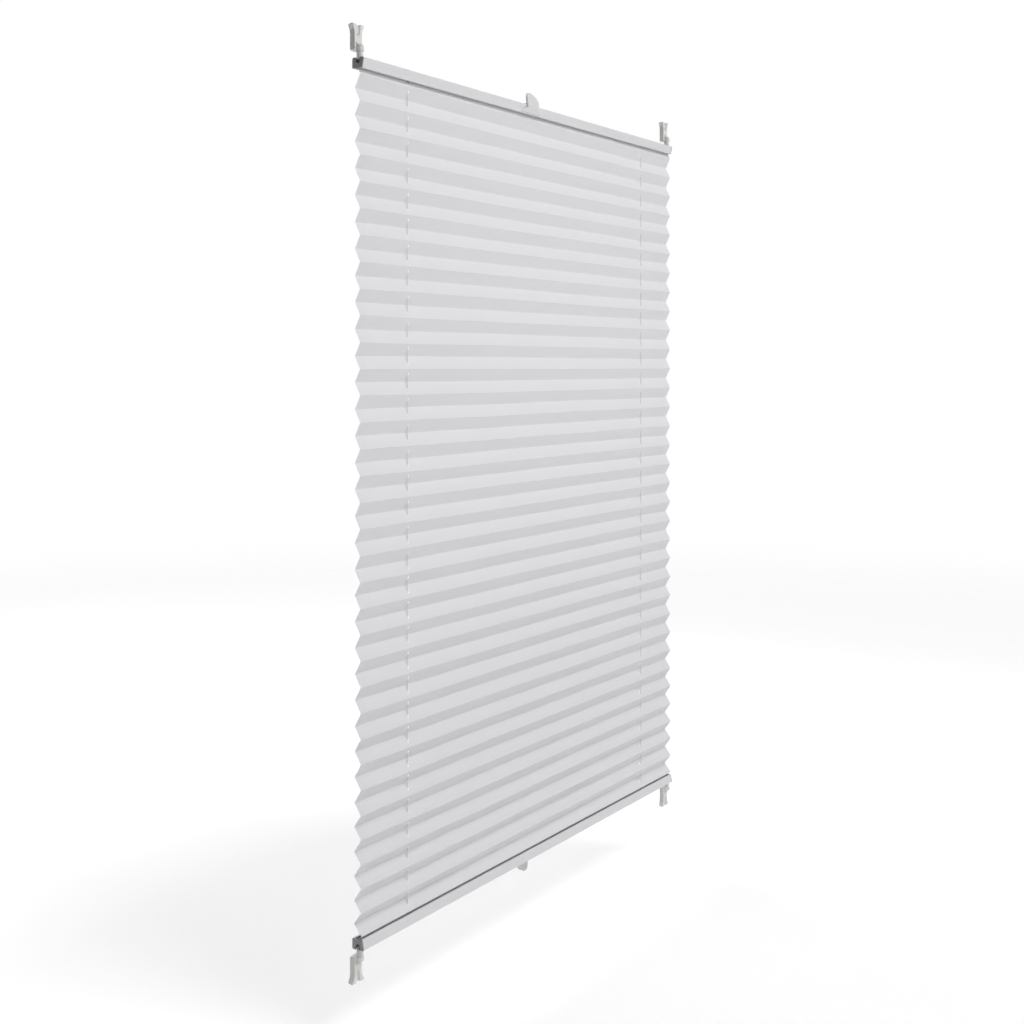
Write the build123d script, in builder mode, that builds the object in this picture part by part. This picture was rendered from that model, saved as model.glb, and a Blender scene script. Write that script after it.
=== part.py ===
from build123d import *
import math
import os

# Pleated blind with two sliding rails on two tensioned cords.
# Frame: X along the rails, -Y towards the room, +Z up, millimetres.
# Origin: centre of the four screw holes, on the plane that the shoes are screwed to (Y = 0).

# ---- Overall sizes ----------------------------------------------------------------------
blind_width = 1000.0        # over the end caps
blind_height = 1250.0       # outer face of one rail to outer face of the other
rear_gap = 1.0              # back of the rails to the mounting plane

# ---- Rail: an open channel, its slot towards the cloth ------------------------------------
rail_depth = 20.0           # front to back, at the closed side
rail_height = 15.0
rail_lean = 3.0             # how far the front face leans out from slot to closed side
rail_wall = 1.2
rail_lip = 1.5              # what the slot's lips reach in past the inner walls
rail_front_round = 1.5
rail_back_round = 3.0

# ---- End caps ---------------------------------------------------------------------------
cap_flange = 2.0
cap_plug_length = 20.0
cap_edge_round = 0.5
plug_fit = 0.25             # clearance of plugs and guides in the channel
dock_depth = 8.4            # recess that the cord peg's nose docks in
dock_fit = 0.3
dock_mouth_radius = 4.0     # U-shaped mouth of the recess in the cap's end face

# ---- Cords ------------------------------------------------------------------------------
cord_diameter = 1.4
cord_side_step = 0.9        # each cord's plane, in front of or behind the blind's mid-plane
cord_bore = 4.0             # every hole that a cord runs through
cord_bend = 3.0             # centreline radius where a cord turns a corner
cord_inset = 120.0          # from the rail's end to the column of cord holes
knot_radius = 2.1
knot_gap = 0.3

# ---- Tension shoes ------------------------------------------------------------------------
shoe_inset = 5.0            # from the rail's end to the shoe's centre line
shoe_width = 17.0
shoe_depth = 8.5
shoe_length = 38.0
shoe_gap = 9.5              # from the rail's outer face to the shoe
shoe_corner_round = 3.0
shoe_edge_round = 1.0
foot_width = 26.0
foot_flare = 16.0           # length over which the foot flares out
foot_lip = 2.5
foot_slant = 2.0            # how much shorter the foot's back is than its front
collar_radius = 5.8
collar_height = 11.5
collar_slant = 6.0
knot_room = 5.5             # bore left above the peg for the cord's knot
screw_radius = 2.0
screw_head_radius = 4.0
screw_head_angle = 82.0
screw_setback = 14.5        # from the foot's end to the screw
groove_radius = 3.0         # channel for the screwdriver
groove_taper = 8.0

# ---- Cord pegs ----------------------------------------------------------------------------
peg_radius = 4.8
peg_tip_round = 3.4
peg_tip_share = 0.9         # the most of the nose's wall that its round may take
peg_dock = 1.5              # how far the peg's nose stands in the end cap
peg_stem_radius = 3.5
peg_stem_length = 4.5
peg_stem_fit = 0.2
peg_seat_gap = 0.3

# ---- Cloth --------------------------------------------------------------------------------
fabric_side_gap = 0.0       # from the end of the rail to the cloth's side edge
fabric_notch_gap = 0.5      # the cloth's corners are notched to clear the end caps by this much
fabric_thickness = 0.45     # measured along Y
pleat_facet = 20.8          # flat width of one facet
stretch_top = 0.905         # facet's height over its flat width, at the top
stretch_bottom = 0.787      # the same at the bottom
stretch_power = 4           # how late the pleats tighten towards the bottom
first_fold_drop = 8.5       # from the top rail's slot to the first front fold
last_fold_rise = 4.9        # from the bottom rail's slot to the last front fold
fabric_end_depth = 2.7      # how far the cloth's ends stand in the slots

# ---- Strips that clamp the cloth's ends ----------------------------------------------------
strip_fit = 0.25
strip_inset = 6.0           # from the end of the rail to the strip's end
strip_height = 2.55
strip_groove_depth = 1.6
strip_groove_fit = 0.3

# ---- Cord guides ---------------------------------------------------------------------------
guide_length = 16.0
guide_fit = 0.3

# ---- Handles -------------------------------------------------------------------------------
handle_offset = -40.0       # along the rail from its middle
handle_rise = 21.0          # tab's height past the rail
handle_half_width = 18.0    # of the tab
handle_base_half = 29.0     # of the base on the rail's face
handle_base_gap = 1.5       # from the slot side's edge to the base
handle_plate = 1.6
handle_root = 3.2           # tab's thickness where it leaves the rail
handle_tip = 2.4
handle_lean = 8.0           # the tab's tip leans back over the rail
handle_fit = 0.2
handle_foot_reach = 4.0     # the foot on the rail's closed face, past the mid-plane
handle_foot = 1.6
handle_foot_half = 15.0
handle_peg_radius = 1.5
handle_peg_spacing = 20.0
handle_peg_fit = 0.2
handle_belly = 0.3          # share of the lean that the tab has reached half way up
handle_waist = 15.5         # half width of the neck between the tab and its base
handle_waist_drop = 3.0     # from the rail's closed side to the neck
handle_waist_run = 0.6      # how the waist's curve sets off inwards from the base's foot
handle_hollow = 0.2         # the tab's back is hollowed by this much
dish_depth = 1.2            # the thumb's dish is scooped out by a long ellipsoid
dish_radius = 22.0
dish_length = 40.0
dish_rise = 0.58            # dish's centre, as a share of the tab's height

# ---- Worked out from the above -------------------------------------------------------------
cord_y = -(rear_gap + rail_depth / 2)
closed_z = blind_height / 2
open_z = closed_z - rail_height
run_z = closed_z - dock_depth + cord_bore / 2
shoe_x = blind_width / 2 - shoe_inset
shoe_z = closed_z + shoe_gap
foot_z = shoe_z + shoe_length
screw_z = foot_z - screw_setback
column_x = blind_width / 2 - cord_inset
rail_length = blind_width - 2 * cap_flange
fabric_width = blind_width - 2 * fabric_side_gap
strip_length = blind_width - 2 * strip_inset
strip_z = open_z + rail_wall + strip_fit
strip_top_z = strip_z + strip_height
plug_z = strip_top_z + guide_fit
knot_z = shoe_z + peg_stem_length + knot_gap + knot_radius

os.makedirs("parts", exist_ok=True)


def save(part, name):
    part.label = name
    export_step(part, f"parts/{name}.step")


def rail_section(inset):
    """The rail's outline across its length, x to the back and y up, inset by a wall."""
    half = rail_depth / 2
    with BuildSketch() as section:
        with BuildLine():
            Polyline(
                (cord_y - half + rail_lean, open_z),
                (cord_y - half, closed_z),
                (cord_y + half, closed_z),
                (cord_y + half, open_z),
                close=True,
            )
        make_face()
        closed_back = section.vertices().group_by(Axis.Y)[-1].sort_by(Axis.X)[-1]
        fillet(closed_back, rail_back_round)
        closed_front = section.vertices().sort_by(Axis.X)[0]
        fillet(closed_front, rail_front_round)
        if inset > 0:
            offset(amount=-inset, kind=Kind.INTERSECTION, mode=Mode.REPLACE)
    return section.sketch


def plug_section(fit):
    """What fills the channel between the cloth's strip and the closed side."""
    with BuildSketch() as section:
        add(rail_section(rail_wall + fit))
        with Locations((cord_y, plug_z)):
            Rectangle(2 * rail_depth, 2 * rail_height, align=(Align.CENTER, Align.MAX), mode=Mode.SUBTRACT)
    return section.sketch


# ---- Top rail --------------------------------------------------------------------------------
# Extruded channel. Its closed side is notched at both ends for the pegs and drilled for the handle.
slot_front = cord_y - rail_depth / 2 + rail_lean + rail_wall + rail_lip
slot_back = cord_y + rail_depth / 2 - rail_wall - rail_lip
notch_radius = peg_radius + 2 * dock_fit

with BuildPart() as top_rail:
    with BuildSketch(Plane.YZ):
        add(rail_section(0))
    extrude(amount=rail_length / 2, both=True)
    with BuildSketch(Plane.YZ):
        add(rail_section(rail_wall))
    extrude(amount=rail_length / 2, both=True, mode=Mode.SUBTRACT)
    with BuildSketch(Plane.YZ):
        with Locations(((slot_front + slot_back) / 2, open_z)):
            Rectangle(slot_back - slot_front, 3 * rail_wall)
    extrude(amount=rail_length / 2, both=True, mode=Mode.SUBTRACT)
    with BuildSketch(Plane.XY.offset(closed_z)):
        with Locations((-shoe_x, cord_y), (shoe_x, cord_y)):
            Circle(notch_radius)
            Rectangle(2 * shoe_inset, 2 * notch_radius)
        with Locations((handle_offset, cord_y)):
            with GridLocations(handle_peg_spacing, 1, 2, 1):
                Circle(handle_peg_radius + handle_peg_fit)
    extrude(amount=-2 * rail_wall, mode=Mode.SUBTRACT)
save(top_rail.part, "top_rail")

# ---- Bottom rail: the same channel, its slot turned up ---------------------------------------
with BuildPart() as bottom_rail:
    mirror(top_rail.part, about=Plane.XY)
save(bottom_rail.part, "bottom_rail")

# ---- End caps --------------------------------------------------------------------------------
# A flange with the rail's outline and a plug in the channel. The peg's nose docks in a round well
# that opens through a U-shaped mouth in the end face, and the cord leaves along a bore.
cap_end_x = -blind_width / 2

with BuildPart() as cap_top_left:
    with BuildSketch(Plane.YZ.offset(cap_end_x)):
        add(rail_section(0))
    extrude(amount=cap_flange)
    fillet(cap_top_left.faces().sort_by(Axis.X)[0].edges(), cap_edge_round)
    with BuildSketch(Plane.YZ.offset(cap_end_x + cap_flange)):
        add(plug_section(plug_fit))
    extrude(amount=cap_plug_length)
    with BuildSketch(Plane.XY.offset(closed_z)):
        with Locations((-shoe_x, cord_y)):
            Circle(peg_radius + dock_fit)
    extrude(amount=-dock_depth, mode=Mode.SUBTRACT)
    with BuildSketch(Plane.YZ.offset(cap_end_x)):
        with Locations((cord_y, closed_z - dock_depth + dock_mouth_radius)):
            Circle(dock_mouth_radius)
            Rectangle(2 * dock_mouth_radius, dock_depth, align=(Align.CENTER, Align.MIN))
    extrude(amount=shoe_inset, mode=Mode.SUBTRACT)
    with BuildSketch(Plane.YZ.offset(-shoe_x)):
        with Locations((cord_y, run_z)):
            Circle(cord_bore / 2)
    extrude(amount=cap_plug_length, mode=Mode.SUBTRACT)
save(cap_top_left.part, "cap_top_left")

with BuildPart() as cap_top_right:
    mirror(cap_top_left.part, about=Plane.YZ)
save(cap_top_right.part, "cap_top_right")

with BuildPart() as cap_bottom_left:
    mirror(cap_top_left.part, about=Plane.XY)
save(cap_bottom_left.part, "cap_bottom_left")

with BuildPart() as cap_bottom_right:
    mirror(cap_top_right.part, about=Plane.XY)
save(cap_bottom_right.part, "cap_bottom_right")

# ---- Tension shoes ---------------------------------------------------------------------------
# A flat body against the mounting plane with a flared foot, a screw pocket open towards the foot's
# end, and a round collar in front of its inner end that takes the peg's stem and the cord's knot.
shoe_plane = Plane(origin=(-shoe_x, 0, 0), x_dir=(1, 0, 0), z_dir=(0, -1, 0))
screw_plane = Plane(origin=(-shoe_x, -shoe_depth, screw_z), x_dir=(1, 0, 0), z_dir=(0, -1, 0))

with BuildPart() as shoe_top_left:
    with BuildSketch(shoe_plane) as outline:
        with BuildLine():
            Line((0, shoe_z), (shoe_width / 2, shoe_z))
            Line((shoe_width / 2, shoe_z), (shoe_width / 2, foot_z - foot_flare))
            TangentArc(
                (shoe_width / 2, foot_z - foot_flare),
                (foot_width / 2, foot_z - foot_lip),
                tangent=(0, 1),
            )
            Line((foot_width / 2, foot_z - foot_lip), (foot_width / 2, foot_z))
            Line((foot_width / 2, foot_z), (0, foot_z))
            mirror(about=Plane.YZ)
        make_face()
        inner_corners = outline.vertices().group_by(Axis.Y)[0].sort_by(Axis.X)
        fillet([inner_corners[0], inner_corners[-1]], shoe_corner_round)
    extrude(amount=shoe_depth)
    with BuildSketch(Plane.YZ.offset(-shoe_x)):
        with BuildLine():
            Polyline((0, foot_z - foot_slant), (0, foot_z), (-shoe_depth, foot_z), close=True)
        make_face()
    extrude(amount=foot_width, both=True, mode=Mode.SUBTRACT)
    fillet(shoe_top_left.faces().sort_by(Axis.Y)[0].edges(), shoe_edge_round)
    with BuildSketch(Plane.XY.offset(shoe_z)):
        with Locations((-shoe_x, cord_y)):
            Circle(collar_radius)
            Rectangle(2 * collar_radius, -cord_y - shoe_depth / 2, align=(Align.CENTER, Align.MIN))
    extrude(amount=collar_height)
    with BuildSketch(Plane.YZ.offset(-shoe_x)):
        with BuildLine():
            Polyline(
                (-shoe_depth, shoe_z + collar_height),
                (cord_y - collar_radius, shoe_z + collar_height),
                (cord_y - collar_radius, shoe_z + collar_height - collar_slant),
                close=True,
            )
        make_face()
    extrude(amount=shoe_width / 2, both=True, mode=Mode.SUBTRACT)
    with BuildSketch(Plane.XY.offset(shoe_z)):
        with Locations((-shoe_x, cord_y)):
            Circle(peg_stem_radius + peg_stem_fit)
    extrude(amount=peg_stem_length + knot_room, mode=Mode.SUBTRACT)
    with Locations(screw_plane):
        CounterSinkHole(screw_radius, screw_head_radius, counter_sink_angle=screw_head_angle)
    with BuildSketch(Plane.XY.offset(screw_z)):
        with Locations((-shoe_x, -shoe_depth)):
            Circle(groove_radius)
    extrude(amount=screw_setback, taper=-groove_taper, mode=Mode.SUBTRACT)
save(shoe_top_left.part, "shoe_top_left")

with BuildPart() as shoe_top_right:
    mirror(shoe_top_left.part, about=Plane.YZ)
save(shoe_top_right.part, "shoe_top_right")

with BuildPart() as shoe_bottom_left:
    mirror(shoe_top_left.part, about=Plane.XY)
save(shoe_bottom_left.part, "shoe_bottom_left")

with BuildPart() as shoe_bottom_right:
    mirror(shoe_top_right.part, about=Plane.XY)
save(shoe_bottom_right.part, "shoe_bottom_right")

# ---- Cord pegs ---------------------------------------------------------------------------------
# Turned bush: its stem sits in the shoe's collar, its round nose docks in the end cap.
peg_plane = Plane(origin=(-shoe_x, cord_y, 0), x_dir=(1, 0, 0), z_dir=(0, -1, 0))

with BuildPart() as peg_top_left:
    with BuildSketch(peg_plane) as profile:
        with BuildLine():
            Polyline(
                (cord_bore / 2, closed_z - peg_dock),
                (peg_radius, closed_z - peg_dock),
                (peg_radius, shoe_z - peg_seat_gap),
                (peg_stem_radius, shoe_z - peg_seat_gap),
                (peg_stem_radius, shoe_z + peg_stem_length),
                (cord_bore / 2, shoe_z + peg_stem_length),
                close=True,
            )
        make_face()
        nose = profile.vertices().group_by(Axis.Y)[0].sort_by(Axis.X)[-1]
        fillet(nose, min(peg_tip_round, peg_tip_share * (peg_radius - cord_bore / 2)))
    revolve(axis=Axis((-shoe_x, cord_y, 0), (0, 0, 1)))
save(peg_top_left.part, "peg_top_left")

with BuildPart() as peg_top_right:
    mirror(peg_top_left.part, about=Plane.YZ)
save(peg_top_right.part, "peg_top_right")

with BuildPart() as peg_bottom_left:
    mirror(peg_top_left.part, about=Plane.XY)
save(peg_bottom_left.part, "peg_bottom_left")

with BuildPart() as peg_bottom_right:
    mirror(peg_top_right.part, about=Plane.XY)
save(peg_bottom_right.part, "peg_bottom_right")

# ---- Strips that clamp the cloth's ends ---------------------------------------------------------
strip_front = cord_y - rail_depth / 2 + rail_lean + rail_wall + strip_fit
strip_back = cord_y + rail_depth / 2 - rail_wall - strip_fit

with BuildPart() as strip_top:
    with BuildSketch(Plane.YZ):
        with Locations(((strip_front + strip_back) / 2, strip_z)):
            Rectangle(strip_back - strip_front, strip_height, align=(Align.CENTER, Align.MIN))
        with Locations((cord_y, strip_z)):
            Rectangle(
                fabric_thickness + 2 * strip_groove_fit,
                2 * strip_groove_depth,
                mode=Mode.SUBTRACT,
            )
    extrude(amount=strip_length / 2, both=True)
    with BuildSketch(Plane.XY.offset(strip_z)):
        with Locations((-column_x, cord_y), (column_x, cord_y)):
            Circle(cord_bore / 2)
    extrude(amount=strip_height, mode=Mode.SUBTRACT)
save(strip_top.part, "strip_top")

with BuildPart() as strip_bottom:
    mirror(strip_top.part, about=Plane.XY)
save(strip_bottom.part, "strip_bottom")

# ---- Cord guides ---------------------------------------------------------------------------------
# A block that fills the channel: one bore along the rail for both cords, one down into the cloth.
with BuildPart() as guide_top_left:
    with BuildSketch(Plane.YZ.offset(-column_x)):
        add(plug_section(plug_fit))
    extrude(amount=guide_length / 2, both=True)
    with BuildSketch(Plane.YZ.offset(-column_x)):
        with Locations((cord_y, run_z)):
            Circle(cord_bore / 2)
    extrude(amount=guide_length / 2, both=True, mode=Mode.SUBTRACT)
    with BuildSketch(Plane.XY.offset(run_z)):
        with Locations((-column_x, cord_y)):
            Circle(cord_bore / 2)
    extrude(amount=-rail_height, mode=Mode.SUBTRACT)
save(guide_top_left.part, "guide_top_left")

with BuildPart() as guide_top_right:
    mirror(guide_top_left.part, about=Plane.YZ)
save(guide_top_right.part, "guide_top_right")

with BuildPart() as guide_bottom_left:
    mirror(guide_top_left.part, about=Plane.XY)
save(guide_bottom_left.part, "guide_bottom_left")

with BuildPart() as guide_bottom_right:
    mirror(guide_top_right.part, about=Plane.XY)
save(guide_bottom_right.part, "guide_bottom_right")


# ---- Handles --------------------------------------------------------------------------------------
# A tab that rises past the rail's closed side, a base plate that follows one face of the rail, and
# a foot on the closed side with two pegs in the rail's holes. An oval dish takes the thumb.
def build_handle(up, out, face_open, face_closed):
    """up: +1 on the top rail, -1 on the bottom one. out: -1 on the front face, +1 on the back.
    face_open and face_closed: the face's distance from the mid-plane at the rail's two sides."""

    def place(distance, height):
        return (cord_y + out * distance, up * (open_z + height))

    slope = (face_closed - face_open) / rail_height
    base = face_open + slope * handle_base_gap + handle_fit
    top = face_closed + handle_fit
    tip_height = rail_height + handle_rise
    tip_out = top + handle_root - handle_lean
    belly = top + handle_root - handle_belly * handle_lean
    sway = 4 * handle_belly - 1
    dish_lean = handle_lean * (sway * dish_rise + (1 - sway) * dish_rise ** 2)
    dish_tilt = math.atan2(handle_lean * (sway + 2 * (1 - sway) * dish_rise), handle_rise)
    dish_out = top + handle_root - dish_lean + (dish_radius - dish_depth) * math.cos(dish_tilt)
    dish_height = rail_height + dish_rise * handle_rise + (dish_radius - dish_depth) * math.sin(dish_tilt)
    with BuildPart() as handle:
        with BuildSketch(Plane.YZ.offset(handle_offset)):
            with BuildLine():
                Line(place(base, handle_base_gap), place(base + handle_plate, handle_base_gap))
                Line(place(base + handle_plate, handle_base_gap), place(top + handle_root, rail_height))
                ThreePointArc(
                    place(top + handle_root, rail_height),
                    place(belly, rail_height + handle_rise / 2),
                    place(tip_out, tip_height),
                )
                Line(place(tip_out, tip_height), place(tip_out - handle_tip, tip_height))
                ThreePointArc(
                    place(tip_out - handle_tip, tip_height),
                    place(belly - handle_root + handle_hollow, rail_height + handle_rise / 2),
                    place(top, rail_height + handle_fit),
                )
                Line(place(top, rail_height + handle_fit), place(base, handle_base_gap))
            make_face()
        extrude(amount=handle_base_half, both=True)
        with BuildSketch(Plane(origin=(handle_offset, 0, 0), x_dir=(1, 0, 0), z_dir=(0, -1, 0))):
            with BuildLine():
                foot = up * (open_z + handle_base_gap)
                shoulder = up * (closed_z - handle_waist_drop)
                neck = up * (closed_z + handle_rise - handle_half_width)
                Line((0, foot), (handle_base_half, foot))
                Spline(
                    (handle_base_half, foot),
                    (handle_waist, shoulder),
                    (handle_half_width, neck),
                    tangents=((-handle_waist_run, up), (0, up)),
                )
                CenterArc((0, neck), handle_half_width, 0, up * 90)
                mirror(about=Plane.YZ)
            make_face()
        extrude(amount=3 * rail_depth, both=True, mode=Mode.INTERSECT)
        with BuildSketch(Plane.XY.offset(up * (closed_z + handle_fit))):
            with Locations((handle_offset, cord_y + out * (top - handle_foot_reach) / 2)):
                Rectangle(2 * handle_foot_half, top + handle_foot_reach + handle_root)
        extrude(amount=up * handle_foot)
        with BuildSketch(Plane.XY.offset(up * (closed_z + handle_fit))):
            with Locations((handle_offset, cord_y)):
                with GridLocations(handle_peg_spacing, 1, 2, 1):
                    Circle(handle_peg_radius)
        extrude(amount=-up * (rail_wall + 2 * handle_fit))
        dish_axis = place(dish_out, dish_height)
        dish_plane = Plane(
            origin=(handle_offset, dish_axis[0], dish_axis[1]),
            x_dir=(1, 0, 0),
            z_dir=(0, 0, 1),
        )
        with BuildSketch(dish_plane):
            Ellipse(dish_length, dish_radius)
            Rectangle(3 * dish_length, 3 * dish_radius, align=(Align.CENTER, Align.MIN), mode=Mode.SUBTRACT)
        revolve(axis=Axis(dish_plane.origin, (1, 0, 0)), mode=Mode.SUBTRACT)
    return handle.part


half_depth = rail_depth / 2
handle_top = build_handle(up=1, out=-1, face_open=half_depth - rail_lean, face_closed=half_depth)
save(handle_top, "handle_top")
handle_bottom = build_handle(up=-1, out=1, face_open=half_depth, face_closed=half_depth)
save(handle_bottom, "handle_bottom")

# ---- Pleated fabric -------------------------------------------------------------------------------
# One sheet folded to and fro. The folds stand further apart at the top, where the sheet carries more
# of its own weight. Both ends stand in the grooves of the strips.
first_z = open_z - first_fold_drop
last_z = -open_z + last_fold_rise


def stretch(share):
    return stretch_top - (stretch_top - stretch_bottom) * share ** stretch_power


span = first_z - last_z
samples = 100
mean_stretch = sum(stretch(i / samples) for i in range(samples + 1)) / (samples + 1)
pitch_count = round(span / (2 * pleat_facet * mean_stretch))
pitches = [2 * pleat_facet * stretch(i / (pitch_count - 1)) for i in range(pitch_count)]
fill = span / sum(pitches)

middle_line = [(cord_y, open_z + fabric_end_depth), (cord_y, open_z)]
fold_z = first_z
for pitch in pitches:
    half_pitch = fill * pitch / 2
    swing = math.sqrt(pleat_facet ** 2 - half_pitch ** 2) / 2
    middle_line.append((cord_y - swing, fold_z))
    middle_line.append((cord_y + swing, fold_z - half_pitch))
    fold_z -= 2 * half_pitch
middle_line.append((cord_y - swing, last_z))
middle_line.append((cord_y, -open_z))
middle_line.append((cord_y, -open_z - fabric_end_depth))

half_thickness = fabric_thickness / 2
front_line = [(y - half_thickness, z) for y, z in middle_line]
back_line = [(y + half_thickness, z) for y, z in middle_line]
cut_length = sum(math.dist(a, b) for a, b in zip(middle_line, middle_line[1:]))
print(f"fabric: {fabric_width:.0f} wide, cut length {cut_length:.0f}, {len(pitches) + 1} front folds")

with BuildPart() as pleated_fabric:
    with BuildSketch(Plane.YZ):
        with BuildLine():
            Polyline(*front_line, *reversed(back_line), close=True)
        make_face()
    extrude(amount=fabric_width / 2, both=True)
    with BuildSketch(Plane.XY.offset(closed_z)):
        with Locations((-column_x, cord_y), (column_x, cord_y)):
            Circle(cord_bore / 2)
    extrude(amount=-blind_height, mode=Mode.SUBTRACT)
    for side in (-1, 1):
        with BuildSketch(Plane.YZ.offset(side * strip_length / 2)):
            for up in (-1, 1):
                with Locations((cord_y, up * (open_z - fabric_notch_gap + rail_height / 2))):
                    Rectangle(rail_depth, rail_height)
        extrude(amount=side * strip_inset, mode=Mode.SUBTRACT)
save(pleated_fabric.part, "pleated_fabric")


# ---- Cords ------------------------------------------------------------------------------------------
# Each cord runs from a shoe's knot down into the rail's end, along the rail to the far column, down
# through the cloth, back along the other rail and out to the shoe below the first one.
def build_cord(side):
    """side: -1 for the cord of the left shoes, +1 for that of the right shoes."""
    plane_y = cord_y + side * cord_side_step
    end_x = side * shoe_x
    far_x = -side * column_x
    with BuildPart() as cord:
        with BuildLine() as route:
            FilletPolyline(
                (end_x, plane_y, knot_z),
                (end_x, plane_y, run_z),
                (far_x, plane_y, run_z),
                (far_x, plane_y, -run_z),
                (end_x, plane_y, -run_z),
                (end_x, plane_y, -knot_z),
                radius=cord_bend,
            )
        with BuildSketch(Plane(origin=(end_x, plane_y, knot_z), z_dir=(0, 0, -1))):
            Circle(cord_diameter / 2)
        sweep()
        with Locations((end_x, plane_y, knot_z), (end_x, plane_y, -knot_z)):
            Sphere(knot_radius)
    tube = math.pi * cord_diameter ** 2 / 4 * route.wire().length
    print(f"cord: route {route.wire().length:.1f} long, volume over tube's own {cord.part.volume / tube:.4f}")
    return cord.part


save(build_cord(-1), "cord_left")
save(build_cord(1), "cord_right")
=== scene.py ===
import math

import bmesh
import bpy
from mathutils import Matrix, Vector, noise


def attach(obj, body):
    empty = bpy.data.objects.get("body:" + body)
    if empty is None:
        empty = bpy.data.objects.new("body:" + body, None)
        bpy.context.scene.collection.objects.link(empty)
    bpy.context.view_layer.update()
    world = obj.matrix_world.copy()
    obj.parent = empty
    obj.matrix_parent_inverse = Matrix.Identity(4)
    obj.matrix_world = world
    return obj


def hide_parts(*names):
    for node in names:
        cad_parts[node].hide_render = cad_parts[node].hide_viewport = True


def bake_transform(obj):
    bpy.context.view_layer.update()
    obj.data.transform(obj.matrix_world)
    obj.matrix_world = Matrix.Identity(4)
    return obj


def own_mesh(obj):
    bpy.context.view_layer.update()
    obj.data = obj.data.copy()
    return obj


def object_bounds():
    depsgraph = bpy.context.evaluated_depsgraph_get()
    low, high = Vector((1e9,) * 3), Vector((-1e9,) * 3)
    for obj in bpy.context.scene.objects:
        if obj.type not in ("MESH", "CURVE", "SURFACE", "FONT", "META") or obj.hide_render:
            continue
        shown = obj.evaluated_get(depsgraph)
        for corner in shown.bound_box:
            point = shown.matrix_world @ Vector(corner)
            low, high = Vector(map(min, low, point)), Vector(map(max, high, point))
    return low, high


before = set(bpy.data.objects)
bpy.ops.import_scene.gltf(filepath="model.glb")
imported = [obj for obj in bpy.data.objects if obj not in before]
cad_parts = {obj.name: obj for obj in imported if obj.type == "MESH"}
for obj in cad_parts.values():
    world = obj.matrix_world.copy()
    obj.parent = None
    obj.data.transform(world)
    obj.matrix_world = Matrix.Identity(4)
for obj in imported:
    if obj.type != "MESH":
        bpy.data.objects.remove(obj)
cad_low, cad_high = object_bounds()


# ---- Camera, light and floor --------------------------------------------------------------------
# A level camera stands to the left of the blind, a little above its middle. The blind hangs free
# over a pale floor that fades out into a white studio, under a large soft light, with small ones in
# front and below and one behind.
scene = bpy.context.scene
scene.view_settings.view_transform = "Standard"

camera_place = (-2.1691, -1.2874, 0.1912)
camera_turn = math.radians(58.489)      # to the right of straight ahead
camera_focal = 52.51                    # mm on a 36 mm sensor
camera_drop = -0.1416                   # the frame looks this far down, in frame widths

camera_data = bpy.data.cameras.new("camera")
camera_data.lens = camera_focal
camera_data.sensor_width = 36.0
camera_data.shift_y = camera_drop
camera = bpy.data.objects.new("camera", camera_data)
camera.location = camera_place
camera.rotation_euler = (math.radians(90.0), 0.0, -camera_turn)
scene.collection.objects.link(camera)
scene.camera = camera


def add_area_light(name, place, aim, size, power, spread=180.0):
    data = bpy.data.lights.new(name, "AREA")
    data.shape = "RECTANGLE"
    data.size, data.size_y = size
    data.energy = power
    data.spread = math.radians(spread)
    light = bpy.data.objects.new(name, data)
    light.location = place
    light.rotation_euler = (Vector(aim) - Vector(place)).to_track_quat("-Z", "Y").to_euler()
    scene.collection.objects.link(light)


blind_middle = (0.0, 0.0, 0.0)
add_area_light("light_above", (0.1, -4.2, 6.5), blind_middle, (4.5, 3.0), 248.0)
add_area_light("light_front", (0.1, -3.3, 1.0), blind_middle, (2.4, 1.4), 15.0)
add_area_light("light_below", (0.0, -1.3, -0.65), (0.0, 0.0, 0.75), (1.8, 0.3), 0.85, spread=70.0)
add_area_light("light_behind", (0.6, 3.2, 2.8), blind_middle, (3.0, 2.0), 80.0)

world = bpy.data.worlds.new("studio")
world.use_nodes = True
world_light = 0.29          # how brightly the studio lights the blind; the camera sees it as white
world_turn = 0.21           # its light is this much stronger from the right, weaker from the left
studio = world.node_tree.nodes["Background"]
studio.inputs["Color"].default_value = (1.0, 1.0, 1.0, 1.0)
seen = world.node_tree.nodes.new("ShaderNodeLightPath")
seen_strength = world.node_tree.nodes.new("ShaderNodeMix")
seen_strength.inputs["B"].default_value = 1.0
sky_place = world.node_tree.nodes.new("ShaderNodeTexCoord")
sky_sides = world.node_tree.nodes.new("ShaderNodeSeparateXYZ")
sky_light = world.node_tree.nodes.new("ShaderNodeMath")
sky_light.operation = "MULTIPLY_ADD"
sky_light.inputs[1].default_value = world_turn
sky_light.inputs[2].default_value = world_light
world.node_tree.links.new(sky_place.outputs["Generated"], sky_sides.inputs["Vector"])
world.node_tree.links.new(sky_sides.outputs["X"], sky_light.inputs[0])
world.node_tree.links.new(sky_light.outputs["Value"], seen_strength.inputs["A"])
world.node_tree.links.new(seen.outputs["Is Camera Ray"], seen_strength.inputs["Factor"])
world.node_tree.links.new(seen_strength.outputs["Result"], studio.inputs["Strength"])
scene.world = world


def new_material(name, **sockets):
    """A material with a Principled BSDF and the given plain socket values."""
    material = bpy.data.materials.new(name)
    material.use_nodes = True
    shader = material.node_tree.nodes["Principled BSDF"]
    for socket, value in sockets.items():
        shader.inputs[socket.replace("_", " ")].default_value = value
    return material, material.node_tree, shader


floor_level = cad_low[2] - 0.09
floor_reach = 14.0
floor_fade = 6.0            # the floor melts into the white studio this far out

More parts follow.
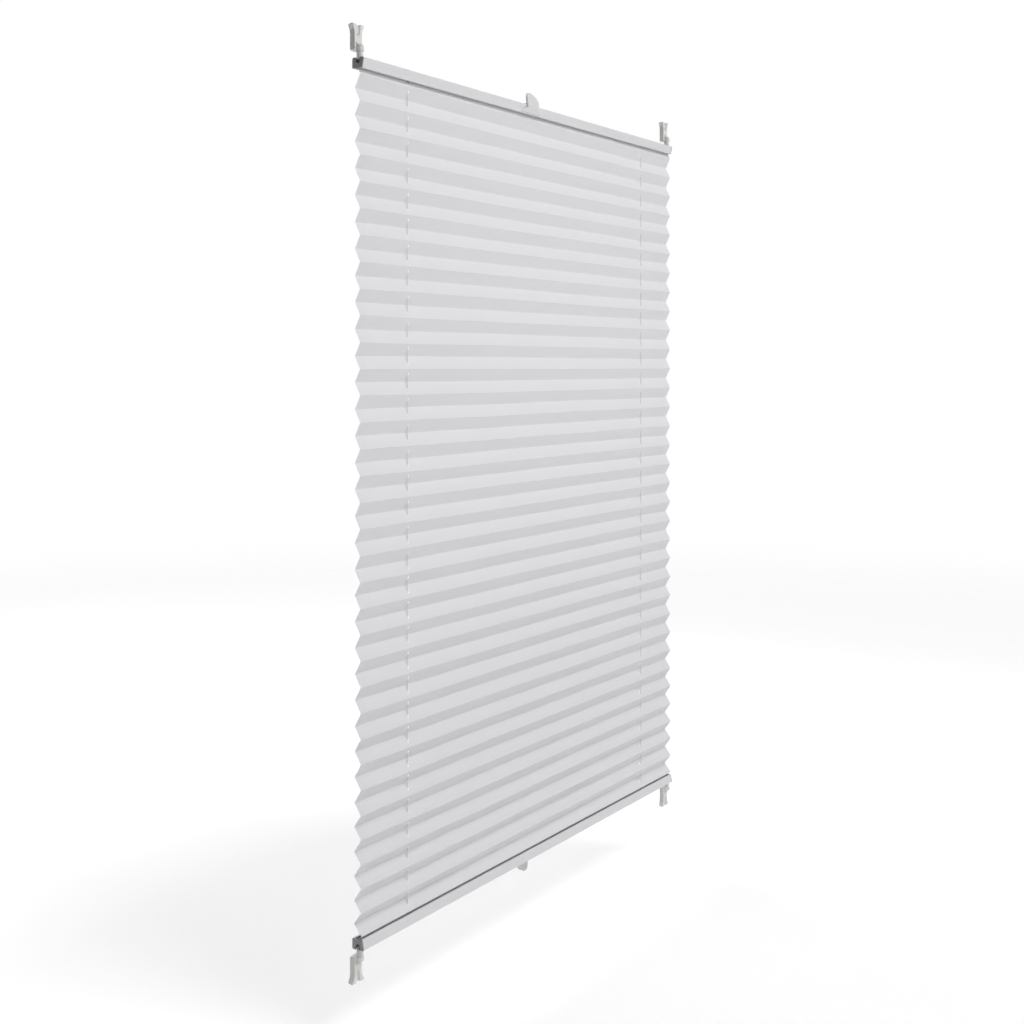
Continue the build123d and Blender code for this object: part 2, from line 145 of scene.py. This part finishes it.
floor_glow = 0.30           # lifts the floor to a pale tone for the camera, and lights nothing else
floor_full = 0.3            # the fade's share at which the floor is solid
floor_material, floor_tree, floor_shader = new_material(
    "studio_floor", Roughness=0.9, Emission_Color=(1.0, 1.0, 1.0, 1.0)
)
floor_seen = floor_tree.nodes.new("ShaderNodeLightPath")
floor_lift = floor_tree.nodes.new("ShaderNodeMath")
floor_lift.operation = "MULTIPLY"
floor_lift.inputs[1].default_value = floor_glow
floor_tree.links.new(floor_seen.outputs["Is Camera Ray"], floor_lift.inputs[0])
floor_tree.links.new(floor_lift.outputs["Value"], floor_shader.inputs["Emission Strength"])
floor_grain = floor_tree.nodes.new("ShaderNodeTexNoise")
floor_grain.inputs["Scale"].default_value = 2.0
floor_tint = floor_tree.nodes.new("ShaderNodeMix")
floor_tint.data_type = "RGBA"
floor_tint.inputs["A"].default_value = (0.94, 0.94, 0.94, 1.0)
floor_tint.inputs["B"].default_value = (0.97, 0.97, 0.97, 1.0)
floor_tree.links.new(floor_grain.outputs["Fac"], floor_tint.inputs["Factor"])
floor_place = floor_tree.nodes.new("ShaderNodeTexCoord")
floor_shrink = floor_tree.nodes.new("ShaderNodeMapping")
floor_shrink.inputs["Scale"].default_value = (1 / floor_fade, 1 / floor_fade, 0.0)
floor_round = floor_tree.nodes.new("ShaderNodeTexGradient")
floor_round.gradient_type = "QUADRATIC_SPHERE"
floor_solid = floor_tree.nodes.new("ShaderNodeMapRange")
floor_solid.inputs["From Max"].default_value = floor_full
for source, sink in (
    (floor_tint.outputs["Result"], floor_shader.inputs["Base Color"]),
    (floor_place.outputs["Object"], floor_shrink.inputs["Vector"]),
    (floor_shrink.outputs["Vector"], floor_round.inputs["Vector"]),
    (floor_round.outputs["Fac"], floor_solid.inputs["Value"]),
    (floor_solid.outputs["Result"], floor_shader.inputs["Alpha"]),
):
    floor_tree.links.new(source, sink)


def finish_mesh(shape, name, material=None, smooth_angle=None):
    """Puts a bmesh into the scene as an object at the origin."""
    mesh = bpy.data.meshes.new(name)
    shape.to_mesh(mesh)
    shape.free()
    piece = bpy.data.objects.new(name, mesh)
    scene.collection.objects.link(piece)
    if material:
        mesh.materials.append(material)
    if smooth_angle is not None:
        mesh.shade_smooth()
        mesh.set_sharp_from_angle(angle=math.radians(smooth_angle))
    return piece


shape = bmesh.new()
bmesh.ops.create_grid(shape, x_segments=1, y_segments=1, size=floor_reach)
bmesh.ops.translate(shape, verts=shape.verts, vec=(0.0, 0.0, floor_level))
floor = finish_mesh(shape, "floor", floor_material)


# ---- Shared surface effects ---------------------------------------------------------------------
# Small moulding and coating marks that several of the materials share, each with its own values.
def new_group(name, inputs, outputs):
    group = bpy.data.node_groups.new(name, "ShaderNodeTree")
    for label, kind, value in inputs:
        socket = group.interface.new_socket(name=label, in_out="INPUT", socket_type=kind)
        socket.default_value = value
    for label, kind in outputs:
        group.interface.new_socket(name=label, in_out="OUTPUT", socket_type=kind)
    return group, group.nodes.new("NodeGroupInput"), group.nodes.new("NodeGroupOutput")


def place_group(tree, group, **values):
    node = tree.nodes.new("ShaderNodeGroup")
    node.node_tree = group
    for socket, value in values.items():
        node.inputs[socket.replace("_", " ")].default_value = value
    return node


# Grain: a fine speckle and a broad, faint unevenness of tone and gloss.
grain_group, grain_in, grain_out = new_group(
    "surface_grain",
    (
        ("Tone", "NodeSocketColor", (0.8, 0.8, 0.8, 1.0)),
        ("Shade", "NodeSocketColor", (0.7, 0.7, 0.7, 1.0)),
        ("Grain Scale", "NodeSocketFloat", 900.0),
        ("Patch Scale", "NodeSocketFloat", 9.0),
        ("Roughness Low", "NodeSocketFloat", 0.4),
        ("Roughness High", "NodeSocketFloat", 0.5),
    ),
    (("Color", "NodeSocketColor"), ("Roughness", "NodeSocketFloat"), ("Height", "NodeSocketFloat")),
)
nodes, links = grain_group.nodes, grain_group.links
place = nodes.new("ShaderNodeTexCoord")
fine = nodes.new("ShaderNodeTexNoise")
fine.inputs["Detail"].default_value = 3.0
broad = nodes.new("ShaderNodeTexNoise")
broad.inputs["Detail"].default_value = 4.0
tone = nodes.new("ShaderNodeMix")
tone.data_type = "RGBA"
gloss = nodes.new("ShaderNodeMix")
blend_marks = nodes.new("ShaderNodeMath")
blend_marks.operation = "MULTIPLY_ADD"
blend_marks.inputs[1].default_value = 0.35
links.new(place.outputs["Object"], fine.inputs["Vector"])
links.new(place.outputs["Object"], broad.inputs["Vector"])
links.new(grain_in.outputs["Grain Scale"], fine.inputs["Scale"])
links.new(grain_in.outputs["Patch Scale"], broad.inputs["Scale"])
links.new(fine.outputs["Fac"], blend_marks.inputs[0])
links.new(broad.outputs["Fac"], blend_marks.inputs[2])
links.new(blend_marks.outputs["Value"], tone.inputs["Factor"])
links.new(grain_in.outputs["Tone"], tone.inputs["A"])
links.new(grain_in.outputs["Shade"], tone.inputs["B"])
links.new(broad.outputs["Fac"], gloss.inputs["Factor"])
links.new(grain_in.outputs["Roughness Low"], gloss.inputs["A"])
links.new(grain_in.outputs["Roughness High"], gloss.inputs["B"])
links.new(tone.outputs["Result"], grain_out.inputs["Color"])
links.new(gloss.outputs["Result"], grain_out.inputs["Roughness"])
links.new(fine.outputs["Fac"], grain_out.inputs["Height"])


def grained_material(name, tone, shade, grain, patch, roughness, bump, bump_depth, **sockets):
    """A coated or moulded surface: the shared grain drives its colour, gloss and bump."""
    material, tree, shader = new_material(name, **sockets)
    node = place_group(
        tree,
        grain_group,
        Tone=(*tone, 1.0),
        Shade=(*shade, 1.0),
        Grain_Scale=grain,
        Patch_Scale=patch,
        Roughness_Low=roughness[0],
        Roughness_High=roughness[1],
    )
    relief = tree.nodes.new("ShaderNodeBump")
    relief.inputs["Strength"].default_value = bump
    relief.inputs["Distance"].default_value = bump_depth
    tree.links.new(node.outputs["Color"], shader.inputs["Base Color"])
    tree.links.new(node.outputs["Roughness"], shader.inputs["Roughness"])
    tree.links.new(node.outputs["Height"], relief.inputs["Height"])
    tree.links.new(relief.outputs["Normal"], shader.inputs["Normal"])
    return material, tree, shader, relief


def refinish(node, material):
    """Gives a CAD node its finish."""
    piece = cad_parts[node]
    piece.data.materials.clear()
    piece.data.materials.append(material)


# ---- Rails --------------------------------------------------------------------------------------
# Extruded aluminium channels, powder coated white before they are cut: a fine orange-peel skin with
# faint draw lines along the rail under it.
rail_finish, rail_tree, rail_shader, rail_relief = grained_material(
    "rail_powder_coat",
    tone=(0.825, 0.825, 0.845),
    shade=(0.79, 0.79, 0.81),
    grain=1400.0,
    patch=5.0,
    roughness=(0.36, 0.44),
    bump=0.25,
    bump_depth=0.0001,
)
draw_place = rail_tree.nodes.new("ShaderNodeTexCoord")
draw_stretch = rail_tree.nodes.new("ShaderNodeMapping")
draw_stretch.inputs["Scale"].default_value = (0.4, 700.0, 700.0)
draw_lines = rail_tree.nodes.new("ShaderNodeTexNoise")
draw_lines.inputs["Scale"].default_value = 1.0
draw_lines.inputs["Detail"].default_value = 2.0
draw_relief = rail_tree.nodes.new("ShaderNodeBump")
draw_relief.inputs["Strength"].default_value = 0.12
draw_relief.inputs["Distance"].default_value = 0.0001
rail_tree.links.new(draw_place.outputs["Object"], draw_stretch.inputs["Vector"])
rail_tree.links.new(draw_stretch.outputs["Vector"], draw_lines.inputs["Vector"])
rail_tree.links.new(draw_lines.outputs["Fac"], draw_relief.inputs["Height"])
rail_tree.links.new(rail_relief.outputs["Normal"], draw_relief.inputs["Normal"])
rail_tree.links.new(draw_relief.outputs["Normal"], rail_shader.inputs["Normal"])
for node in ("top_rail", "bottom_rail"):
    refinish(node, rail_finish)


# ---- End caps -----------------------------------------------------------------------------------
# Dark grey nylon plugs pushed into the rails' ends, with a spark-eroded mould texture.
cap_finish = grained_material(
    "cap_nylon",
    tone=(0.44, 0.44, 0.435),
    shade=(0.33, 0.33, 0.325),
    grain=1800.0,
    patch=40.0,
    roughness=(0.5, 0.62),
    bump=0.3,
    bump_depth=0.0001,
)[0]
for node in ("cap_top_left", "cap_top_right", "cap_bottom_left", "cap_bottom_right"):
    refinish(node, cap_finish)


# ---- Strips and cord guides ---------------------------------------------------------------------
# Grey extruded strips hold the cloth's ends inside the rails, and grey moulded blocks turn the
# cords. Both are coloured near black, far darker than their grey plastic, as painted shade for the
# rails' dark slots.
strip_painted_shade_finish = grained_material(
    "strip_painted_shade_plastic",
    # near black: painted shade in the slots, darker than the plastic's own grey
    tone=(0.10, 0.10, 0.105),
    shade=(0.07, 0.07, 0.075),
    grain=700.0,
    patch=20.0,
    roughness=(0.55, 0.7),
    bump=0.2,
    bump_depth=0.0001,
)[0]
for node in (
    "strip_top",
    "strip_bottom",
    "guide_top_left",
    "guide_top_right",
    "guide_bottom_left",
    "guide_bottom_right",
):
    refinish(node, strip_painted_shade_finish)


# ---- Tension shoes and cord pegs ----------------------------------------------------------------
# White glossy acetal mouldings. Handling leaves them a shade warmer in broad patches.
shoe_finish = grained_material(
    "shoe_acetal",
    tone=(0.86, 0.86, 0.85),
    shade=(0.79, 0.79, 0.76),
    grain=600.0,
    patch=60.0,
    roughness=(0.28, 0.38),
    bump=0.08,
    bump_depth=0.0001,
)[0]
for side in ("top_left", "top_right", "bottom_left", "bottom_right"):
    refinish(f"shoe_{side}", shoe_finish)
    refinish(f"peg_{side}", shoe_finish)


# ---- Handles ------------------------------------------------------------------------------------
# Clear-white moulded tabs clipped over the rails, with an oval dish for the thumb.
handle_finish = grained_material(
    "handle_plastic",
    tone=(0.82, 0.82, 0.83),
    shade=(0.78, 0.78, 0.79),
    grain=500.0,
    patch=30.0,
    roughness=(0.22, 0.3),
    bump=0.06,
    bump_depth=0.0001,
)[0]
for node in ("handle_top", "handle_bottom"):
    refinish(node, handle_finish)


# ---- Pleated cloth ------------------------------------------------------------------------------
# One polyester sheet, heat-set to and fro in 20.8 mm facets and stretched between the strips. Its
# own weight pulls the upper pleats further open. It is in two halves here that meet on a facet half
# way down.
MM = 0.001                  # the cloth and the cords are laid out in mm
cord_y = -11.0              # the cords' plane, in the middle of the pleats
slot_z = 610.0              # the rails' slots
notch_x = 494.0             # outside this the cloth stops short of the slots, to clear the end caps
notch_gap = 0.5
cloth_width = 1000.0
cloth_facet = 20.8
cloth_thickness = 0.3
stretch_top = 0.905         # how far open the pleats hang, as a share of flat
stretch_bottom = 0.787
stretch_power = 4
first_fold_drop = 8.5       # from the top slot down to the first fold
last_fold_rise = 4.9        # from the bottom slot up to the last fold
end_depth = 2.6             # how deep the ends sit in the strips
column_x = 380.0            # the two columns of holes that the cords run through
hole_radius = 2.0
top_travel = 560.0
bottom_travel = 560.0

first_z = slot_z - first_fold_drop
last_z = -slot_z + last_fold_rise
span = first_z - last_z
pitch_count = 33


def stretch(share):
    return stretch_top - (stretch_top - stretch_bottom) * share ** stretch_power


pitches = [2 * cloth_facet * stretch(i / (pitch_count - 1)) for i in range(pitch_count)]
fill = span / sum(pitches)
folds = [(cord_y, slot_z + end_depth), (cord_y, slot_z)]
fold_z = first_z
for pitch in pitches:
    half_pitch = fill * pitch / 2
    swing = math.sqrt(cloth_facet ** 2 - half_pitch ** 2) / 2
    folds.append((cord_y - swing, fold_z))
    folds.append((cord_y + swing, fold_z - half_pitch))
    fold_z -= 2 * half_pitch
folds.append((cord_y - swing, last_z))
folds.append((cord_y, -slot_z))
folds.append((cord_y, -slot_z - end_depth))
middle_fold = min(range(len(folds)), key=lambda i: abs(folds[i][1]))
split_share = 0.22          # the halves meet this far down the facet, clear of fold and holes
fold_above, fold_below = folds[middle_fold], folds[middle_fold + 1]
split = tuple(a + split_share * (b - a) for a, b in zip(fold_above, fold_below))
fixed_z = split[1]

cloth_columns = 76
rows_per_facet = 4
crease_angle = 25.0         # edges sharper than this show as creases


def unevenness(x, row, frequency, row_step, seed):
    """A slow noise along a fold or facet, different on each one."""
    return noise.noise(Vector((x * frequency, row * row_step, seed)))


def make_cloth(name, profile):
    """One half of the sheet. profile: its folds as (y, z), from the top down."""
    shape = bmesh.new()
    uv_layer = shape.loops.layers.uv.new("cloth")
    step = cloth_width / cloth_columns
    corners = [shape.verts.new((-cloth_width / 2, y, z)) for y, z in profile]
    facets = [shape.edges.new(pair) for pair in zip(corners, corners[1:])]
    bmesh.ops.subdivide_edges(shape, edges=facets, cuts=rows_per_facet - 1)
    bmesh.ops.spin(
        shape,
        geom=list(shape.verts) + list(shape.edges),
        cent=(0.0, 0.0, 0.0),
        axis=(1.0, 0.0, 0.0),
        dvec=(step, 0.0, 0.0),
        angle=0.0,
        steps=cloth_columns,
        use_merge=False,
    )
    notch_z = slot_z - notch_gap
    for place, facing in (
        ((-notch_x, 0.0, 0.0), (1.0, 0.0, 0.0)),
        ((notch_x, 0.0, 0.0), (1.0, 0.0, 0.0)),
        ((0.0, 0.0, notch_z), (0.0, 0.0, 1.0)),
        ((0.0, 0.0, -notch_z), (0.0, 0.0, 1.0)),
    ):
        everything = list(shape.verts) + list(shape.edges) + list(shape.faces)
        bmesh.ops.bisect_plane(shape, geom=everything, plane_co=place, plane_no=facing)
    middles = [(face, face.calc_center_median()) for face in shape.faces]
    notches = [
        face for face, middle in middles if abs(middle.x) > notch_x and abs(middle.z) > notch_z
    ]
    bmesh.ops.delete(shape, geom=notches, context="FACES")
    reach = [0.0]
    for a, b in zip(profile, profile[1:]):
        reach.append(reach[-1] + math.dist(a, b))
    heights = [z for _, z in profile]

    def along(z):
        """How far down the sheet a height lies, and how far that is into its facet, 0 to 1."""
        for i in range(len(heights) - 1):
            if heights[i] + 1e-4 >= z >= heights[i + 1] - 1e-4:
                share = (heights[i] - z) / max(heights[i] - heights[i + 1], 1e-6)
                return reach[i] + share * (reach[i + 1] - reach[i]), share, i
        return reach[-1], 1.0, len(heights) - 2

    for face in shape.faces:
        for loop in face.loops:
            loop[uv_layer].uv = (loop.vert.co.x * MM, along(loop.vert.co.z)[0] * MM)
    ends = (heights[0], heights[-1])
    for vert in shape.verts:
        x, y, z = vert.co
        _, share, facet = along(z)
        ease = min(1.0, abs(z - ends[0]) / end_ease, abs(z - ends[1]) / end_ease)
        lift = unevenness(x, facet // 2, *wander_grain) * fold_wander
        lift += unevenness(x, facet // 2, *ripple_grain) * fold_ripple
        bow = 4 * share * (1 - share) * facet_bow * (1 + unevenness(x, facet, *bow_grain))
        side = -1 if profile[facet][0] < profile[facet + 1][0] else 1
        vert.co.z += ease * (lift + bow)
        vert.co.y += ease * side * bow * bow_depth
    bmesh.ops.scale(shape, verts=shape.verts, vec=(MM, MM, MM))
    bmesh.ops.recalc_face_normals(shape, faces=shape.faces)
    sheet = finish_mesh(shape, name, cloth_finish, smooth_angle=crease_angle)
    thicken = sheet.modifiers.new("thickness", "SOLIDIFY")
    thicken.thickness = cloth_thickness * MM
    thicken.offset = 0.0
    return sheet


def punch_holes(sheet, cutter):
    """Cuts the cord holes out of the finished sheet."""
    punch = sheet.modifiers.new("punch", "BOOLEAN")
    punch.operation = "DIFFERENCE"
    punch.solver = "EXACT"
    punch.object = cutter
    graph = bpy.context.evaluated_depsgraph_get()
    finished = bpy.data.meshes.new_from_object(sheet.evaluated_get(graph))
    finished.set_sharp_from_angle(angle=math.radians(crease_angle))
    sheet.modifiers.clear()
    sheet.data = finished


end_ease = 30.0             # the sheet runs straight into its ends over this height
fold_wander = 0.9           # slow unevenness of the folds, and a quicker one, in mm
fold_ripple = 0.35
facet_bow = 0.25            # how far a facet's middle bulges up, and the share of that outwards
bow_depth = 0.3
wander_grain = (0.004, 3.7, 0.0)    # frequency per mm, step from fold to fold, seed
ripple_grain = (0.017, 5.1, 9.0)
bow_grain = (0.006, 2.3, 4.0)

cloth_finish, cloth_tree, cloth_shader = new_material(
    "cloth_polyester", Roughness=0.9, Sheen_Weight=0.12
)
cloth_place = cloth_tree.nodes.new("ShaderNodeUVMap")
cloth_place.uv_map = "cloth"
thread_pitch = 0.00034
warp = cloth_tree.nodes.new("ShaderNodeTexWave")
warp.bands_direction = "X"
warp.inputs["Scale"].default_value = math.pi / (10.0 * thread_pitch)
weft = cloth_tree.nodes.new("ShaderNodeTexWave")
weft.bands_direction = "Y"
weft.inputs["Scale"].default_value = math.pi / (10.0 * thread_pitch)
weave = cloth_tree.nodes.new("ShaderNodeMath")
weave.operation = "MULTIPLY"
slubs = cloth_tree.nodes.new("ShaderNodeTexNoise")
slub_stretch = cloth_tree.nodes.new("ShaderNodeMapping")
slub_stretch.inputs["Scale"].default_value = (12.0, 900.0, 1.0)
slubs.inputs["Scale"].default_value = 1.0
slubs.inputs["Detail"].default_value = 3.0
cloth_tone = cloth_tree.nodes.new("ShaderNodeMix")
cloth_tone.data_type = "RGBA"
cloth_tone.inputs["A"].default_value = (0.80, 0.80, 0.825, 1.0)
cloth_tone.inputs["B"].default_value = (0.84, 0.84, 0.86, 1.0)
cloth_relief = cloth_tree.nodes.new("ShaderNodeBump")
cloth_relief.inputs["Strength"].default_value = 0.3
cloth_relief.inputs["Distance"].default_value = 0.00006
for source, sink in (
    (cloth_place.outputs["UV"], warp.inputs["Vector"]),
    (cloth_place.outputs["UV"], weft.inputs["Vector"]),
    (cloth_place.outputs["UV"], slub_stretch.inputs["Vector"]),
    (slub_stretch.outputs["Vector"], slubs.inputs["Vector"]),
    (warp.outputs["Fac"], weave.inputs[0]),
    (weft.outputs["Fac"], weave.inputs[1]),
    (slubs.outputs["Fac"], cloth_tone.inputs["Factor"]),
    (cloth_tone.outputs["Result"], cloth_shader.inputs["Base Color"]),
    (weave.outputs["Value"], cloth_relief.inputs["Height"]),
    (cloth_relief.outputs["Normal"], cloth_shader.inputs["Normal"]),
):
    cloth_tree.links.new(source, sink)

hole_sides = 20
punch_length = 1.4          # in metres, longer than the cloth hangs

shape = bmesh.new()
for x in (-column_x, column_x):
    bmesh.ops.create_cone(
        shape,
        segments=hole_sides,
        radius1=hole_radius * MM,
        radius2=hole_radius * MM,
        depth=punch_length,
        cap_ends=True,
        matrix=Matrix.Translation((x * MM, cord_y * MM, 0.0)),
    )
punch_tool = finish_mesh(shape, "punch_tool")
upper_profile = folds[: middle_fold + 1] + [split]
lower_profile = [split] + folds[middle_fold + 1 :]
for name, profile, strip, joint, travel in (
    ("cloth_upper", upper_profile, "strip_top", "top_rail_slide", top_travel),
    ("cloth_lower", lower_profile, "strip_bottom", "bottom_rail_slide", bottom_travel),
):
    sheet = make_cloth(name, profile)
    punch_holes(sheet, punch_tool)
    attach(sheet, "shoes")
    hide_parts("pleated_fabric")
    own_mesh(sheet)
bpy.data.objects.remove(punch_tool)


# ---- Cords --------------------------------------------------------------------------------------
# Two braided polyester cords, 1.4 mm thick, knotted in the shoes. Each runs into the rail's end,
# along the rail, down through the holes in the cloth and back out to the shoe below, under tension.
cord_radius = 0.7
cord_mouth = 3.0            # how far above its run the cord enters the rail
corner_run = 8.4            # the cord runs straight from this far past a guide
cord_side_step = 0.9        # how far each cord passes to its own side of the pleats' middle
shoe_x = 495.0
run_z = 618.6               # the cords' run inside the rail
knot_z = 641.4
knot_radius = 2.0

cord_finish, cord_tree, cord_shader, cord_relief = grained_material(
    "cord_polyester",
    tone=(0.80, 0.80, 0.80),
    shade=(0.66, 0.66, 0.66),
    grain=2600.0,
    patch=300.0,
    roughness=(0.7, 0.85),
    bump=0.5,
    bump_depth=0.0002,
    Sheen_Weight=0.1,
)
# the braid: strands that cross to the left and to the right round the cord
braid_pitch = 0.0012
braid_place = cord_tree.nodes.new("ShaderNodeTexCoord")
braid_mirror = cord_tree.nodes.new("ShaderNodeMapping")
braid_mirror.inputs["Scale"].default_value = (-1.0, -1.0, 1.0)
braid_left = cord_tree.nodes.new("ShaderNodeTexWave")
braid_right = cord_tree.nodes.new("ShaderNodeTexWave")
for strands in (braid_left, braid_right):
    strands.bands_direction = "DIAGONAL"
    strands.inputs["Scale"].default_value = math.pi / (5.0 * braid_pitch)
braid = cord_tree.nodes.new("ShaderNodeMath")
braid.operation = "MAXIMUM"
braid_relief = cord_tree.nodes.new("ShaderNodeBump")
braid_relief.inputs["Strength"].default_value = 0.6
braid_relief.inputs["Distance"].default_value = 0.00015
for source, sink in (
    (braid_place.outputs["Object"], braid_left.inputs["Vector"]),
    (braid_place.outputs["Object"], braid_mirror.inputs["Vector"]),
    (braid_mirror.outputs["Vector"], braid_right.inputs["Vector"]),
    (braid_left.outputs["Fac"], braid.inputs[0]),
    (braid_right.outputs["Fac"], braid.inputs[1]),
    (braid.outputs["Value"], braid_relief.inputs["Height"]),
    (cord_relief.outputs["Normal"], braid_relief.inputs["Normal"]),
    (braid_relief.outputs["Normal"], cord_shader.inputs["Normal"]),
):
    cord_tree.links.new(source, sink)


def make_cord(name, points, knots=()):
    """A run of cord along the points, in mm, with its knots."""
    data = bpy.data.curves.new(name, "CURVE")
    data.dimensions = "3D"
    data.bevel_depth = cord_radius * MM
    data.bevel_resolution = 3
    data.use_fill_caps = True
    spline = data.splines.new("NURBS")
    spline.points.add(len(points) - 1)
    for target, point in zip(spline.points, points):
        target.co = (*(Vector(point) * MM), 1.0)
    spline.order_u = 3
    spline.use_endpoint_u = True
    spline.resolution_u = 6
    curve = bpy.data.objects.new(name, data)
    scene.collection.objects.link(curve)
    graph = bpy.context.evaluated_depsgraph_get()
    shape = bmesh.new()
    shape.from_mesh(bpy.data.meshes.new_from_object(curve.evaluated_get(graph)))
    bpy.data.objects.remove(curve)
    for knot in knots:
        bmesh.ops.create_icosphere(
            shape,
            subdivisions=3,
            radius=knot_radius * MM,
            matrix=Matrix.Translation(Vector(knot) * MM),
        )
    return finish_mesh(shape, name, cord_finish, smooth_angle=60.0)


for side, cord in ((-1, "cord_left"), (1, "cord_right")):
    plane_y = cord_y + side * cord_side_step
    end_x = side * shoe_x
    far_x = -side * column_x
    for up, body, joint, travel in (
        (1, "upper_rail", "top_rail_slide", top_travel),
        (-1, "lower_rail", "bottom_rail_slide", bottom_travel),
    ):
        place = f"{cord}_{'top' if up > 0 else 'bottom'}"
        mouth_z = run_z + cord_mouth
        span_piece = make_cord(
            f"{place}_span",
            [(end_x, plane_y, up * knot_z), (end_x, plane_y, up * mouth_z)],
            knots=[(end_x, plane_y, up * knot_z)],
        )
        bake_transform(span_piece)
        run_piece = make_cord(
            f"{place}_run",
            [
                (end_x, plane_y, up * mouth_z),
                (end_x, plane_y, up * run_z),
                (end_x - side * corner_run, plane_y, up * run_z),
                (far_x + side * corner_run, plane_y, up * run_z),
                (far_x, plane_y, up * run_z),
                (far_x, plane_y, up * slot_z),
            ],
        )
        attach(run_piece, body)
        drop_piece = make_cord(
            f"{place}_drop", [(far_x, plane_y, up * slot_z), (far_x, plane_y, fixed_z)]
        )
        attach(drop_piece, "shoes")
        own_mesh(drop_piece)
        for piece in (span_piece, run_piece, drop_piece):
            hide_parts(cord)
